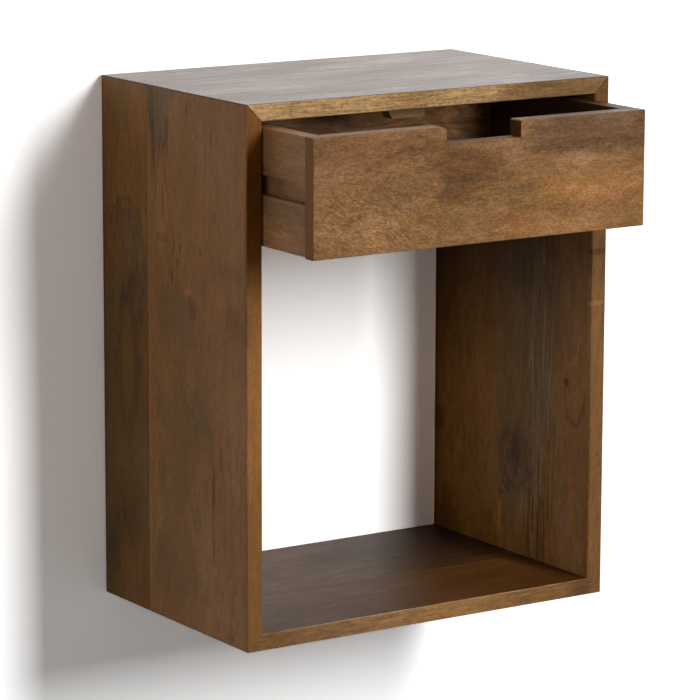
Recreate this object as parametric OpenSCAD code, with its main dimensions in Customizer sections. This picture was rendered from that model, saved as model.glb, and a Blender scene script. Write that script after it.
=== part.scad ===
// Wall-hung table: an open mitred case of edge-glued boards with one inset drawer.
// Millimetres. X runs to the right, Y into the wall, Z up.
// The origin is on the wall plane, midway between the two holes for the wall screws.

/* [Case] */
// Width over the two sides
case_w = 400; // [330:1:600]
// Depth from the wall to the front edges
case_d = 260; // [245:1:400]
// Height from the underside to the table top
case_h = 500; // [300:1:700]
// Thickness of the case boards
board_t = 16; // [15:0.5:24]
// Width of the rear board of the left side
left_rear_w = 85; // [60:1:200]
// Width of the rear board of the right side
right_rear_w = 166; // [60:1:200]
// Width of the rear board of the top
top_rear_w = 128; // [60:1:160]
// Width of the rear board of the bottom
bottom_rear_w = 150; // [60:1:200]
// Radius of the eased arrises
arris_r = 1.2; // [0.5:0.1:2]
// Radius of the outer arrises that lie against the wall
wall_arris_r = 3.5; // [2:0.5:6]

/* [Mitre splines] */
// Thickness of the loose spline in each mitre
spline_t = 3; // [2:0.5:4]
// Width of the spline across the mitre
spline_w = 12; // [8:0.5:14]
// Distance of the spline from the inside corner, along the mitre
spline_up = 8; // [6:0.5:10]
// Distance of the spline's ends from the front and back edges
spline_inset = 24; // [15:1:40]

/* [Hanging rail] */
// Height of the rail
rail_h = 64; // [56:1:90]
// Thickness of the rail
rail_t = 18; // [14:1:24]
// Distance between the two wall-screw holes
wall_pitch = 256; // [160:1:270]
// Diameter of the wall-screw holes
wall_hole_d = 5; // [4:0.5:6]
// Diameter of the countersinks of the wall-screw holes
wall_sink_d = 10; // [9:0.5:12]
// Distance between the two dowels at each end of the rail
rail_dowel_pitch = 36; // [24:1:40]

/* [Drawer] */
// Height of the drawer front
front_h = 108; // [90:1:140]
// Thickness of the drawer front
front_t = 17; // [15:0.5:22]
// Depth of the rebates that take the ends of the drawer sides
front_rebate = 4; // [2:0.5:6]
// Gap between the drawer and each side of the case
side_gap = 2.25; // [1:0.25:4]
// Gap between the drawer and the top of the case
top_gap = 5.5; // [3:0.5:8]
// Gap between the closed drawer and the hanging rail
back_gap = 6; // [3:0.5:15]
// How far the drawer is drawn out of the case
drawn_out = 80; // [0:1:85]
// Thickness of the drawer sides
side_t = 16; // [15:0.5:20]
// Height of the lower edges of the drawer sides above that of the front
side_rise = 1.5; // [0:0.5:4]
// Thickness of the drawer back
back_t = 14; // [12:0.5:18]
// Thickness of the drawer bottom
bottom_t = 5; // [4:0.5:8]
// Height of the drawer bottom above the lower edge of the front
bottom_up = 10; // [6:0.5:14]
// Depth of the grooves for the drawer bottom
bottom_groove = 6; // [4:0.5:6.5]

/* [Finger notch] */
// Width of the notch
notch_w = 81; // [60:1:120]
// Depth of the notch
notch_h = 15.5; // [12:0.5:24]
// Radius of the notch's upper left corner
notch_left_r = 6; // [2:0.5:10]
// Radius of the notch's upper right corner
notch_right_r = 1.5; // [0.5:0.5:10]

/* [Runners] */
// Height of the runners
runner_h = 17.5; // [12:0.5:20]
// Height of the runners' middle above the lower edge of the drawer front
runner_up = 56.5; // [52:0.5:60]
// Depth of the grooves in the drawer sides
groove_deep = 8; // [6:0.5:8.5]
// Gap above and below each runner in its groove
slide_gap = 0.3; // [0.2:0.05:0.6]
// Gap between the edge of each runner and the bottom of its groove
tip_gap = 1.25; // [0.5:0.25:2]
// Gap at the front of the runners when the drawer is shut
stop_gap = 0.3; // [0.2:0.1:1]
// Gap between the runners and the hanging rail
runner_back_gap = 2; // [1:0.5:10]
// Distance of the outer screws from the ends of the runners
runner_screw_inset = 22; // [12:1:40]
// Number of screws in each runner
runner_screws = 3; // [2:1:5]

/* [Stop block] */
// Width of the block's lower face
block_w = 36; // [24:1:60]
// Length of the block along the depth of the case
block_l = 14; // [12:0.5:25]
// Height of the block
block_h = 14; // [10:0.5:18]
// Sideways reach of the block's sloping left end
block_slope = 9; // [0:0.5:12]
// Distance of the block from the front of the case
block_set_back = 40; // [25:1:60]

/* [Fasteners] */
// Diameter of the dowels in the rail
rail_dowel_d = 8; // [6:1:8]
// Depth of the rail's dowels in the case sides
rail_dowel_in_side = 10; // [6:0.5:11]
// Depth of the rail's dowels in the rail
rail_dowel_in_rail = 20; // [15:1:30]
// Diameter of the drawer's dowels
drawer_dowel_d = 6; // [5:0.5:6]
// Depth of the drawer's dowels in the front and in the sides' inner faces
dowel_in_face = 8; // [6:0.5:9]
// Depth of the drawer's dowels in end grain
dowel_in_end = 22; // [15:1:30]
// Height of the lower dowels above the lower edge of the front
lower_dowel_up = 24; // [22:0.5:28]
// Distance of the upper dowels below the upper edge of the front
upper_dowel_down = 21; // [12:0.5:24]
// Diameter of the wood screws
screw_d = 3.5; // [3:0.5:4]
// Diameter of the screws' countersunk heads
screw_head_d = 7; // [6:0.5:8]
// Length of the screws in the runners and the drawer bottom
short_screw_l = 20; // [16:1:22]
// Length of the screw in the stop block
long_screw_l = 25; // [20:1:27]
// Number of screws in the drawer bottom
bottom_screws = 3; // [2:1:5]
// Distance of the outer screws from the ends of the drawer back
bottom_screw_inset = 45; // [35:1:80]

/* [Clearances] */
// Gap round splines and dowels, filled by glue
glue_gap = 0.1; // [0.05:0.05:0.3]
// Gap round the shank and head of each screw
screw_gap = 0.05; // [0.02:0.01:0.2]
// Gap round the edges of the drawer bottom in its grooves
panel_gap = 0.2; // [0.1:0.05:0.5]
// Space left past the end of each dowel and screw
end_gap = 0.8; // [0.3:0.1:1.5]

/* [Hidden] */

// Faces of the case
case_top = board_t + rail_h / 2;
case_bottom = case_top - case_h;
top_under = case_top - board_t;
floor_z = case_bottom + board_t;
inner_w = case_w - 2 * board_t;
mid_z = (case_top + case_bottom) / 2;

// Faces of the drawer, where it stands drawn out
drawer_w = inner_w - 2 * side_gap;
front_lip = front_t - front_rebate;
front_y = -case_d - drawn_out;
shoulder_y = front_y + front_lip;
front_back_y = front_y + front_t;
back_outer_y = -rail_t - back_gap - drawn_out;
back_inner_y = back_outer_y - back_t;
drawer_top = top_under - top_gap;
drawer_low = drawer_top - front_h;
side_low = drawer_low + side_rise;
side_in_x = drawer_w / 2 - side_t;
bottom_z = drawer_low + bottom_up;
bottom_top_z = bottom_z + bottom_t;

// Runners and the grooves that slide on them
runner_z = drawer_low + runner_up;
runner_w = side_gap + groove_deep - tip_gap;
groove_h = runner_h + 2 * slide_gap;
runner_front_y = -case_d + front_lip + stop_gap;
runner_back_y = -rail_t - runner_back_gap;

// Stop block
block_front_y = -case_d + block_set_back;
block_mid_y = block_front_y + block_l / 2;

// Heights of the drawer's dowels
dowel_rows = [drawer_low + lower_dowel_up, drawer_top - upper_dowel_down];

// Shares of a fastener's own size
dowel_chamfer = 0.1 * rail_dowel_d;
head_rim = 0.4;
head_h = head_rim + (screw_head_d - screw_d) / 2;
recess_l = 0.55 * screw_head_d;
recess_w = 0.14 * screw_head_d;
recess_deep = 0.7 * head_h;
tip_l = 1.5 * screw_d;

// Cuts run this far past the faces that they open
past = 1;
arris_fn = 32;
hole_fn = 48;

stain = "#7a5434";
stain_dark = "#5c3f28";
stain_light = "#a67c4a";
pale_wood = "#b39a6c";
ply_wood = "#a98d63";
steel = "#9a9a98";

// Places of a row of n items between two ends
function row(low, high, n) = [for (i = [0 : n - 1]) low + (high - low) * i / (n - 1)];

// Waste outside the rounded corner of a section whose material fills the +X +Y quarter
module corner_waste(r) {
    difference() {
        translate([-past, -past]) square(r + past);
        translate([r, r]) circle(r, $fn = arris_fn);
    }
}

// Section of a case panel: the wall is at x = 0, the front at -case_d, the inner face on y = 0
module panel_section() {
    difference() {
        translate([-case_d, 0]) square([case_d, board_t]);
        translate([-case_d, 0]) corner_waste(arris_r);
        translate([-case_d, board_t]) rotate(-90) corner_waste(arris_r);
        rotate(90) corner_waste(arris_r);
        translate([0, board_t]) rotate(180) corner_waste(wall_arris_r);
    }
}

// The board of a panel that lies against the wall
module rear_section(w) {
    intersection() {
        panel_section();
        translate([-w, -past]) square([w + past, board_t + 2 * past]);
    }
}

// The board of a panel that has the front edge
module front_section(w) {
    intersection() {
        panel_section();
        translate([-case_d - past, -past]) square([case_d + past - w, board_t + 2 * past]);
    }
}

// Space of the top panel between its two mitres; turned over for the bottom
module level_mitres() {
    out = case_w / 2 + past;
    in = inner_w / 2 - past;
    rise = board_t + 2 * past;
    translate([0, past, -past]) rotate([90, 0, 0]) linear_extrude(case_d + 2 * past)
        polygon([[-in, 0], [in, 0], [out, rise], [-out, rise]]);
}

// Space of the left panel between its two mitres, about the case's middle height
module upright_mitres() {
    out = case_h / 2 + past;
    in = case_h / 2 - board_t - past;
    run = board_t + 2 * past;
    translate([-inner_w / 2 + past, past, 0]) rotate([90, 0, 0]) linear_extrude(case_d + 2 * past)
        polygon([[0, -in], [0, in], [-run, out], [-run, -out]]);
}

// Waste along the case's four outer corners, from front to back
module case_corner_waste() {
    for (x = [-1, 1], z = [case_bottom, case_top])
        translate([x * case_w / 2, past, z]) rotate([90, 0, 0])
            mirror([x > 0 ? 1 : 0, 0]) mirror([0, z > 0 ? 1 : 0])
                linear_extrude(case_d + 2 * past) corner_waste(arris_r);
}

// A spline in the mitre at side x (-1 or 1) and level z (-1 or 1), grown all round by extra
module mitre_spline(x, z, extra = 0) {
    reach = spline_up / sqrt(2);
    corner_z = z > 0 ? top_under : floor_z;
    spline_l = case_d - 2 * spline_inset;
    translate([x * (inner_w / 2 + reach), -case_d / 2, corner_z + z * reach]) rotate([0, 45 * x * z, 0])
        cube([spline_w + 2 * extra, spline_l + 2 * extra, spline_t + 2 * extra], center = true);
}

module spline_grooves() {
    for (x = [-1, 1], z = [-1, 1]) mitre_spline(x, z, glue_gap);
}

// A dowel along +Z from z = -back to z = front, with chamfered ends
module dowel(d, back, front) {
    rotate_extrude($fn = hole_fn) polygon([
        [0, -back], [d / 2 - dowel_chamfer, -back], [d / 2, -back + dowel_chamfer],
        [d / 2, front - dowel_chamfer], [d / 2 - dowel_chamfer, front], [0, front]
    ]);
}

// The hole of that dowel
module dowel_hole(d, back, front) {
    translate([0, 0, -back - end_gap])
        cylinder(d = d + 2 * glue_gap, h = back + front + 2 * end_gap, $fn = hole_fn);
}

// A countersunk wood screw whose head is flush with z = 0 and whose point is down
module wood_screw(l) {
    difference() {
        rotate_extrude($fn = hole_fn) polygon([
            [0, 0], [screw_head_d / 2, 0], [screw_head_d / 2, -head_rim], [screw_d / 2, -head_h],
            [screw_d / 2, -l + tip_l], [0, -l]
        ]);
        for (a = [0, 90]) rotate(a) translate([-recess_l / 2, -recess_w / 2, -recess_deep])
            cube([recess_l, recess_w, recess_deep + past]);
    }
}

// The hole of that screw, open at its head
module screw_hole(l) {
    g = screw_gap;
    rotate_extrude($fn = hole_fn) polygon([
        [0, past], [screw_head_d / 2 + g, past], [screw_head_d / 2 + g, -head_rim - g],
        [screw_d / 2 + g, -head_h - g], [screw_d / 2 + g, -l + tip_l - g], [0, -l - end_gap]
    ]);
}

// Places of the dowels between the rail and the sides, pointing out of the rail
module at_rail_dowels() {
    for (x = [-1, 1], z = [-1, 1])
        translate([x * inner_w / 2, -rail_t / 2, z * rail_dowel_pitch / 2])
            rotate([0, 90 * x, 0]) children();
}

// Places of the runner screws of one side, head up
module at_runner_screws(x) {
    for (y = row(runner_front_y + runner_screw_inset, runner_back_y - runner_screw_inset, runner_screws))
        translate([x * (inner_w / 2 - runner_w), y, runner_z]) rotate([0, -90 * x, 0]) children();
}

// Place of the stop block's screw, head down
module at_block_screw() {
    translate([0, block_mid_y, top_under - block_h]) rotate([180, 0, 0]) children();
}

// Places of the dowels between the drawer front and the sides, pointing to the front
module at_front_dowels() {
    for (x = [-1, 1], z = dowel_rows)
        translate([x * (drawer_w - side_t) / 2, shoulder_y, z]) rotate([90, 0, 0]) children();
}

// Places of the dowels between the drawer back and the sides, pointing out of the back
module at_back_dowels() {
    for (x = [-1, 1], z = dowel_rows)
        translate([x * side_in_x, back_outer_y - back_t / 2, z]) rotate([0, 90 * x, 0]) children();
}

// Places of the drawer bottom's screws, head down
module at_bottom_screws() {
    end = side_in_x - bottom_screw_inset;
    for (x = row(-end, end, bottom_screws))
        translate([x, back_outer_y - back_t / 2, bottom_z]) rotate([180, 0, 0]) children();
}

module rail_dowel_holes() {
    at_rail_dowels() dowel_hole(rail_dowel_d, rail_dowel_in_rail, rail_dowel_in_side);
}

module front_dowel_holes() {
    at_front_dowels() dowel_hole(drawer_dowel_d, dowel_in_end, dowel_in_face);
}

module back_dowel_holes() {
    at_back_dowels() dowel_hole(drawer_dowel_d, dowel_in_end, dowel_in_face);
}

// A board of the top or the bottom, from its section
module level_board() {
    intersection() {
        translate([-case_w / 2, 0, 0]) rotate([90, 0, 90]) linear_extrude(case_w) children();
        level_mitres();
    }
}

// A board of the left side, from its section, about the case's middle height
module upright_board() {
    intersection() {
        translate([-inner_w / 2, 0, -case_h / 2]) linear_extrude(case_h) rotate(90) children();
        upright_mitres();
    }
}

// A board of the top, on its inner face
module top_board() {
    difference() {
        translate([0, 0, top_under]) level_board() children();
        case_corner_waste();
        spline_grooves();
        at_block_screw() screw_hole(long_screw_l);
    }
}

module bottom_board() {
    difference() {
        translate([0, 0, floor_z]) mirror([0, 0, 1]) level_board() children();
        case_corner_waste();
        spline_grooves();
    }
}

// A board of the side x (-1 or 1)
module side_board(x) {
    difference() {
        translate([0, 0, mid_z]) mirror([x > 0 ? 1 : 0, 0, 0]) upright_board() children();
        case_corner_waste();
        spline_grooves();
        rail_dowel_holes();
        at_runner_screws(x) screw_hole(short_screw_l);
    }
}

module runner(x) {
    l = runner_back_y - runner_front_y;
    difference() {
        translate([x * (inner_w - runner_w) / 2, runner_front_y + l / 2, runner_z])
            cube([runner_w, l, runner_h], center = true);
        at_runner_screws(x) screw_hole(short_screw_l);
    }
}

// Groove round the drawer bottom, cut into the front and the sides
module bottom_grooves() {
    w = 2 * (side_in_x + bottom_groove);
    translate([-w / 2, front_back_y - bottom_groove, bottom_z])
        cube([w, back_outer_y + past - front_back_y + bottom_groove, bottom_t]);
}

// A drawer side on side x (-1 or 1)
module drawer_side(x) {
    l = back_outer_y - shoulder_y;
    outer_x = drawer_w / 2;
    difference() {
        translate([x * (outer_x - side_t / 2), shoulder_y + l / 2, (drawer_top + side_low) / 2])
            cube([side_t, l, drawer_top - side_low], center = true);
        // eased upper arrises
        for (edge = [outer_x, side_in_x])
            translate([x * edge, back_outer_y + past, drawer_top]) rotate([90, 0, 0])
                mirror([x * (edge - side_in_x - side_t / 2) > 0 ? 1 : 0, 0]) mirror([0, 1])
                    linear_extrude(l + 2 * past) corner_waste(arris_r);
        // groove that slides on the runner
        translate([x * outer_x, shoulder_y + l / 2 + past / 2, runner_z])
            cube([2 * groove_deep, l + past, groove_h], center = true);
        bottom_grooves();
        front_dowel_holes();
        back_dowel_holes();
    }
}

// Waste along the front arrises of the drawer front
module front_arris_waste() {
    for (x = [-1, 1])
        translate([x * drawer_w / 2, front_y, drawer_low - past]) mirror([x > 0 ? 1 : 0, 0])
            linear_extrude(front_h + 2 * past) corner_waste(arris_r);
    for (z = [drawer_low, drawer_top])
        translate([-drawer_w / 2 - past, front_y, z]) mirror([0, 0, z > drawer_low ? 1 : 0])
            rotate([90, 0, 90]) linear_extrude(drawer_w + 2 * past) corner_waste(arris_r);
}

// The finger notch, with its rounded upper corners
module notch() {
    translate([0, front_back_y + past, drawer_top]) rotate([90, 0, 0]) linear_extrude(front_t + 2 * past) {
        translate([-notch_w / 2, -notch_h]) square([notch_w, notch_h + past]);
        translate([-notch_w / 2, 0]) rotate(180) corner_waste(notch_left_r);
        translate([notch_w / 2, 0]) rotate(-90) corner_waste(notch_right_r);
    }
}

module top_front_board() {
    color(stain) top_board() front_section(top_rear_w);
}

module top_rear_board() {
    color(stain_dark) top_board() rear_section(top_rear_w);
}

module bottom_front_board() {
    color(stain) bottom_board() front_section(bottom_rear_w);
}

module bottom_rear_board() {
    color(stain_dark) bottom_board() rear_section(bottom_rear_w);
}

module left_front_board() {
    color(stain) side_board(-1) front_section(left_rear_w);
}

module left_rear_board() {
    color(stain_dark) side_board(-1) rear_section(left_rear_w);
}

module right_front_board() {
    color(stain) side_board(1) front_section(right_rear_w);
}

module right_rear_board() {
    color(stain_dark) side_board(1) rear_section(right_rear_w);
}

module top_left_spline() {
    color(pale_wood) mitre_spline(-1, 1);
}

module top_right_spline() {
    color(pale_wood) mitre_spline(1, 1);
}

module bottom_left_spline() {
    color(pale_wood) mitre_spline(-1, -1);
}

module bottom_right_spline() {
    color(pale_wood) mitre_spline(1, -1);
}

module hanging_rail() {
    sink_h = (wall_sink_d - wall_hole_d) / 2;
    color(stain_dark) difference() {
        translate([-inner_w / 2, -rail_t, -rail_h / 2]) cube([inner_w, rail_t, rail_h]);
        for (x = [-1, 1]) translate([x * wall_pitch / 2, 0, 0]) rotate([90, 0, 0]) {
            translate([0, 0, -past]) cylinder(d = wall_hole_d, h = rail_t + 2 * past, $fn = hole_fn);
            translate([0, 0, rail_t - sink_h])
                cylinder(d1 = wall_hole_d, d2 = wall_sink_d, h = sink_h, $fn = hole_fn);
        }
        rail_dowel_holes();
    }
}

module rail_dowels() {
    color(pale_wood) at_rail_dowels() dowel(rail_dowel_d, rail_dowel_in_rail, rail_dowel_in_side);
}

module left_runner() {
    color(stain_light) runner(-1);
}

module right_runner() {
    color(stain_light) runner(1);
}

module runner_screws() {
    color(steel) for (x = [-1, 1]) at_runner_screws(x) wood_screw(short_screw_l);
}

module stop_block() {
    color(pale_wood) difference() {
        translate([0, block_front_y + block_l, top_under]) rotate([90, 0, 0]) linear_extrude(block_l)
            polygon([
                [-block_w / 2 - block_slope, 0], [-block_w / 2, -block_h],
                [block_w / 2, -block_h], [block_w / 2, 0]
            ]);
        at_block_screw() screw_hole(long_screw_l);
    }
}

module stop_block_screw() {
    color(steel) at_block_screw() wood_screw(long_screw_l);
}

module drawer_front() {
    color(stain) difference() {
        translate([-drawer_w / 2, front_y, drawer_low]) cube([drawer_w, front_t, front_h]);
        front_arris_waste();
        // rebates that take the ends of the sides
        for (x = [-1, 1]) translate([x * drawer_w / 2, shoulder_y + front_t, drawer_low + front_h / 2])
            cube([2 * side_t, 2 * front_t, front_h + 2 * past], center = true);
        notch();
        bottom_grooves();
        front_dowel_holes();
    }
}

module drawer_left_side() {
    color(stain) drawer_side(-1);
}

module drawer_right_side() {
    color(stain) drawer_side(1);
}

module drawer_back() {
    color(stain) difference() {
        translate([-side_in_x, back_inner_y, bottom_top_z])
            cube([2 * side_in_x, back_t, drawer_top - bottom_top_z]);
        back_dowel_holes();
        at_bottom_screws() screw_hole(short_screw_l);
    }
}

module drawer_bottom() {
    reach = bottom_groove - panel_gap;
    color(ply_wood) difference() {
        translate([-side_in_x - reach, front_back_y - reach, bottom_z])
            cube([2 * (side_in_x + reach), back_outer_y - front_back_y + reach, bottom_t]);
        at_bottom_screws() screw_hole(short_screw_l);
    }
}

module drawer_front_dowels() {
    color(pale_wood) at_front_dowels() dowel(drawer_dowel_d, dowel_in_end, dowel_in_face);
}

module drawer_back_dowels() {
    color(pale_wood) at_back_dowels() dowel(drawer_dowel_d, dowel_in_end, dowel_in_face);
}

module drawer_bottom_screws() {
    color(steel) at_bottom_screws() wood_screw(short_screw_l);
}

top_front_board();
top_rear_board();
bottom_front_board();
bottom_rear_board();
left_front_board();
left_rear_board();
right_front_board();
right_rear_board();
top_left_spline();
top_right_spline();
bottom_left_spline();
bottom_right_spline();
hanging_rail();
rail_dowels();
left_runner();
right_runner();
runner_screws();
stop_block();
stop_block_screw();
drawer_front();
drawer_left_side();
drawer_right_side();
drawer_back();
drawer_bottom();
drawer_front_dowels();
drawer_back_dowels();
drawer_bottom_screws();
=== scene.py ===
import math

import bpy
from mathutils import Matrix, Vector


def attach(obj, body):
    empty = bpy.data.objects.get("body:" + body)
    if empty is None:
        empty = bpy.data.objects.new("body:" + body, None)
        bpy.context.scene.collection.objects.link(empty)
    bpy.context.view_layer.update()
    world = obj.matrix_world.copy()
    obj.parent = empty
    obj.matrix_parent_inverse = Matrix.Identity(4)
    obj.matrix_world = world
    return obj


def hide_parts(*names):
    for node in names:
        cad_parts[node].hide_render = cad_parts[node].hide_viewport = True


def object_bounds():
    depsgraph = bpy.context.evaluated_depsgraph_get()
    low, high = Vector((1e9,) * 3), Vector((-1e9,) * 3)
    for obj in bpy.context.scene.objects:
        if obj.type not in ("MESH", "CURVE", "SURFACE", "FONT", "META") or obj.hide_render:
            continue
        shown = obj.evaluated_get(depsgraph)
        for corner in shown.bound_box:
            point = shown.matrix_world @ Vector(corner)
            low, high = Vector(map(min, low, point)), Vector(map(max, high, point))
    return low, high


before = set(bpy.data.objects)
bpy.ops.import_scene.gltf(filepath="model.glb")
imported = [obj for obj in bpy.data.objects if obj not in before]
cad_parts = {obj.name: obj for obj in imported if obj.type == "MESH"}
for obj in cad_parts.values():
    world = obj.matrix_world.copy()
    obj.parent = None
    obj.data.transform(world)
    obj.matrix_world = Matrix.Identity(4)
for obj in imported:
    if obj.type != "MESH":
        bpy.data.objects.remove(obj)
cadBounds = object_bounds()
print("stage: frame loaded,", len(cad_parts), "nodes")


def linearColour(hexText, strength=1.0, grey=0.0):
    # sRGB hex to the linear colour that a shader socket takes, made stronger, weaker or greyer
    parts = [int(hexText[i:i + 2], 16) / 255 for i in (0, 2, 4)]
    parts = [c / 12.92 if c <= 0.04045 else ((c + 0.055) / 1.055) ** 2.4 for c in parts]
    plain = 0.3 * parts[0] + 0.6 * parts[1] + 0.1 * parts[2]
    return tuple(strength * (c + (plain - c) * grey) for c in parts) + (1.0,)


def addNode(tree, kind, settings=None, links=None, out=0):
    # adds one shader node, gives it its settings in order, links its inputs and returns one output
    node = tree.nodes.new("ShaderNode" + kind)
    for key, value in (settings or {}).items():
        if key == "stops":
            ramp = node.color_ramp.elements
            while len(ramp) < len(value):
                ramp.new(0.5)
            for element, (place, tone) in zip(ramp, value):
                element.position = place
                element.color = tone if isinstance(tone, tuple) else linearColour(tone)
        elif isinstance(key, str) and hasattr(node, key):
            setattr(node, key, value)
        else:
            node.inputs[key].default_value = value
    for key, socket in (links or {}).items():
        tree.links.new(socket, node.inputs[key])
    return node.outputs[out] if len(node.outputs) else node


def newMaterial(name):
    material = bpy.data.materials.new(name)
    material.use_nodes = True
    material.node_tree.nodes.clear()
    return material, material.node_tree


def selectOnly(piece):
    bpy.ops.object.select_all(action="DESELECT")
    piece.select_set(True)
    bpy.context.view_layer.objects.active = piece


# the camera stands to the left of the table and a little above it
viewpoint = {
    "place": (-1.9221, -3.0352, 0.4757),
    "azimuth": -33.43,
    "elevation": 11.21,
    "roll": 0.2,
    "lens": 192.09,
    "sensor": 36.0,
}


def makeCamera(view):
    turn, rise, roll = (math.radians(view[k]) for k in ("azimuth", "elevation", "roll"))
    back = Vector((math.sin(turn) * math.cos(rise), -math.cos(turn) * math.cos(rise), math.sin(rise)))
    right = Vector((math.cos(turn), math.sin(turn), 0.0))
    up = back.cross(right)
    rightRolled = right * math.cos(roll) + up * math.sin(roll)
    upRolled = up * math.cos(roll) - right * math.sin(roll)
    data = bpy.data.cameras.new("tableCamera")
    data.lens = view["lens"]
    data.sensor_width = view["sensor"]
    camera = bpy.data.objects.new("tableCamera", data)
    bpy.context.scene.collection.objects.link(camera)
    axes = Matrix((rightRolled, upRolled, back)).transposed().to_4x4()
    camera.matrix_world = Matrix.Translation(view["place"]) @ axes
    bpy.context.scene.camera = camera


makeCamera(viewpoint)
bpy.context.scene.view_settings.view_transform = "Standard"
print("stage: camera placed")


# the room, in metres and watts: a white wall behind, a pale floor well below, a soft lamp at the
# upper right, a weak one at the left, and one behind the wall that lights the table's back
room = {
    "wallTone": "f2f2f2",
    "floorTone": "eceae6",
    "wallWidth": 6.0,
    "wallTop": 2.4,
    "wallY": 0.0006,
    "floorZ": -0.75,
    "floorWidth": 3.0,
    "floorReach": 1.8,
    "brightness": 2.75,
    "bounce": 0.34,
    "worldLight": 0.085,
    "keyPlace": (0.57, -2.33, 0.63),
    "lampAim": (0.0, -0.1, -0.2),
    "keySize": (0.46, 1.05),
    "keyWatts": 33.0,
    "fillPlace": (-2.2, -1.4, 0.2),
    "fillSize": (1.2, 1.2),
    "fillWatts": 4.4,
    "backPlace": (-0.9, 1.9, 0.7),
    "backSize": (1.2, 1.2),
    "backWatts": 22.0,
    "touching": 0.002,                # metres from the wall within which the back lamp gets through
    "dapple": 160.0,                  # dabs of the paint roller in a metre
    "dappleRelief": (0.04, 0.0003),
}


def mattPaint(name, tone, r):
    # matt wall paint: it burns out to white in the eye and in reflections, as on a studio wall,
    # and it takes the table's soft shadow; from behind it is clear, so that the table's back and
    # underside can be looked at, and a lamp behind it lights what touches it
    material, tree = newMaterial(name)
    here = addNode(tree, "TexCoord", out=3)
    rollerDapple = addNode(tree, "TexNoise", {"Scale": r["dapple"], "Detail": 3.0}, {"Vector": here})
    strength, distance = r["dappleRelief"]
    relief = addNode(tree, "Bump", {"Strength": strength, "Distance": distance}, {"Height": rollerDapple})
    ray = addNode(tree, "LightPath").node.outputs
    seen = addNode(tree, "Math", {"operation": "MAXIMUM"},
                   {0: ray["Is Camera Ray"], 1: ray["Is Glossy Ray"]})
    seen = addNode(tree, "Math", {"operation": "MAXIMUM"}, {0: seen, 1: ray["Is Transmission Ray"]})
    paintTone = addNode(tree, "Mix", {"data_type": "RGBA", 6: linearColour(tone, r["bounce"]),
                                      7: linearColour(tone, r["brightness"])}, {0: seen}, out=2)
    surface = addNode(tree, "BsdfDiffuse", links={"Color": paintTone, "Normal": relief})
    behind = addNode(tree, "NewGeometry", out=6)
    near = addNode(tree, "Math", {"operation": "LESS_THAN", 1: r["touching"]}, {0: ray["Ray Length"]})
    near = addNode(tree, "Math", {"operation": "MULTIPLY"}, {0: near, 1: ray["Is Shadow Ray"]})
    behind = addNode(tree, "Math", {"operation": "MAXIMUM"}, {0: behind, 1: near})
    clear = addNode(tree, "BsdfTransparent")
    surface = addNode(tree, "MixShader", links={0: behind, 1: surface, 2: clear})
    addNode(tree, "OutputMaterial", links={"Surface": surface})
    return material


def makeRoom(r):
    bpy.ops.object.select_all(action="DESELECT")
    middle = (r["wallTop"] + r["floorZ"]) / 2
    bpy.ops.mesh.primitive_plane_add(size=1, location=(0, r["wallY"], middle),
                                     rotation=(math.pi / 2, 0, 0))
    wall = bpy.context.object
    wall.name = "roomWall"
    wall.scale = (r["wallWidth"], r["wallTop"] - r["floorZ"], 1)
    wall.data.materials.append(mattPaint("mattWallPaint", r["wallTone"], r))
    bpy.ops.mesh.primitive_plane_add(size=1, location=(0, r["wallY"] - r["floorReach"] / 2, r["floorZ"]))
    floor = bpy.context.object
    floor.name = "roomFloor"
    floor.scale = (r["floorWidth"], r["floorReach"], 1)
    floor.data.materials.append(mattPaint("mattFloorPaint", r["floorTone"], r))

    world = bpy.data.worlds.new("studio")
    bpy.context.scene.world = world
    world.use_nodes = True
    tree = world.node_tree
    tree.nodes.clear()
    ray = addNode(tree, "LightPath").node.outputs
    strength = addNode(tree, "MapRange", {3: r["worldLight"], 4: 1.0}, {0: ray["Is Camera Ray"]})
    sky = addNode(tree, "Background", {"Color": (1, 1, 1, 1)}, {"Strength": strength})
    addNode(tree, "OutputWorld", links={"Surface": sky})

    for part in ("key", "fill", "back"):
        lamp = bpy.data.lights.new(part + "Lamp", "AREA")
        lamp.shape = "RECTANGLE"
        lamp.size, lamp.size_y = r[part + "Size"]
        lamp.energy = r[part + "Watts"]
        holder = bpy.data.objects.new(part + "Lamp", lamp)
        bpy.context.scene.collection.objects.link(holder)
        holder.location = r[part + "Place"]
        aim = Vector(r["lampAim"]) - Vector(r[part + "Place"])
        holder.rotation_euler = aim.to_track_quat("-Z", "Y").to_euler()


makeRoom(room)
print("stage: room and lamp ready")


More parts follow.
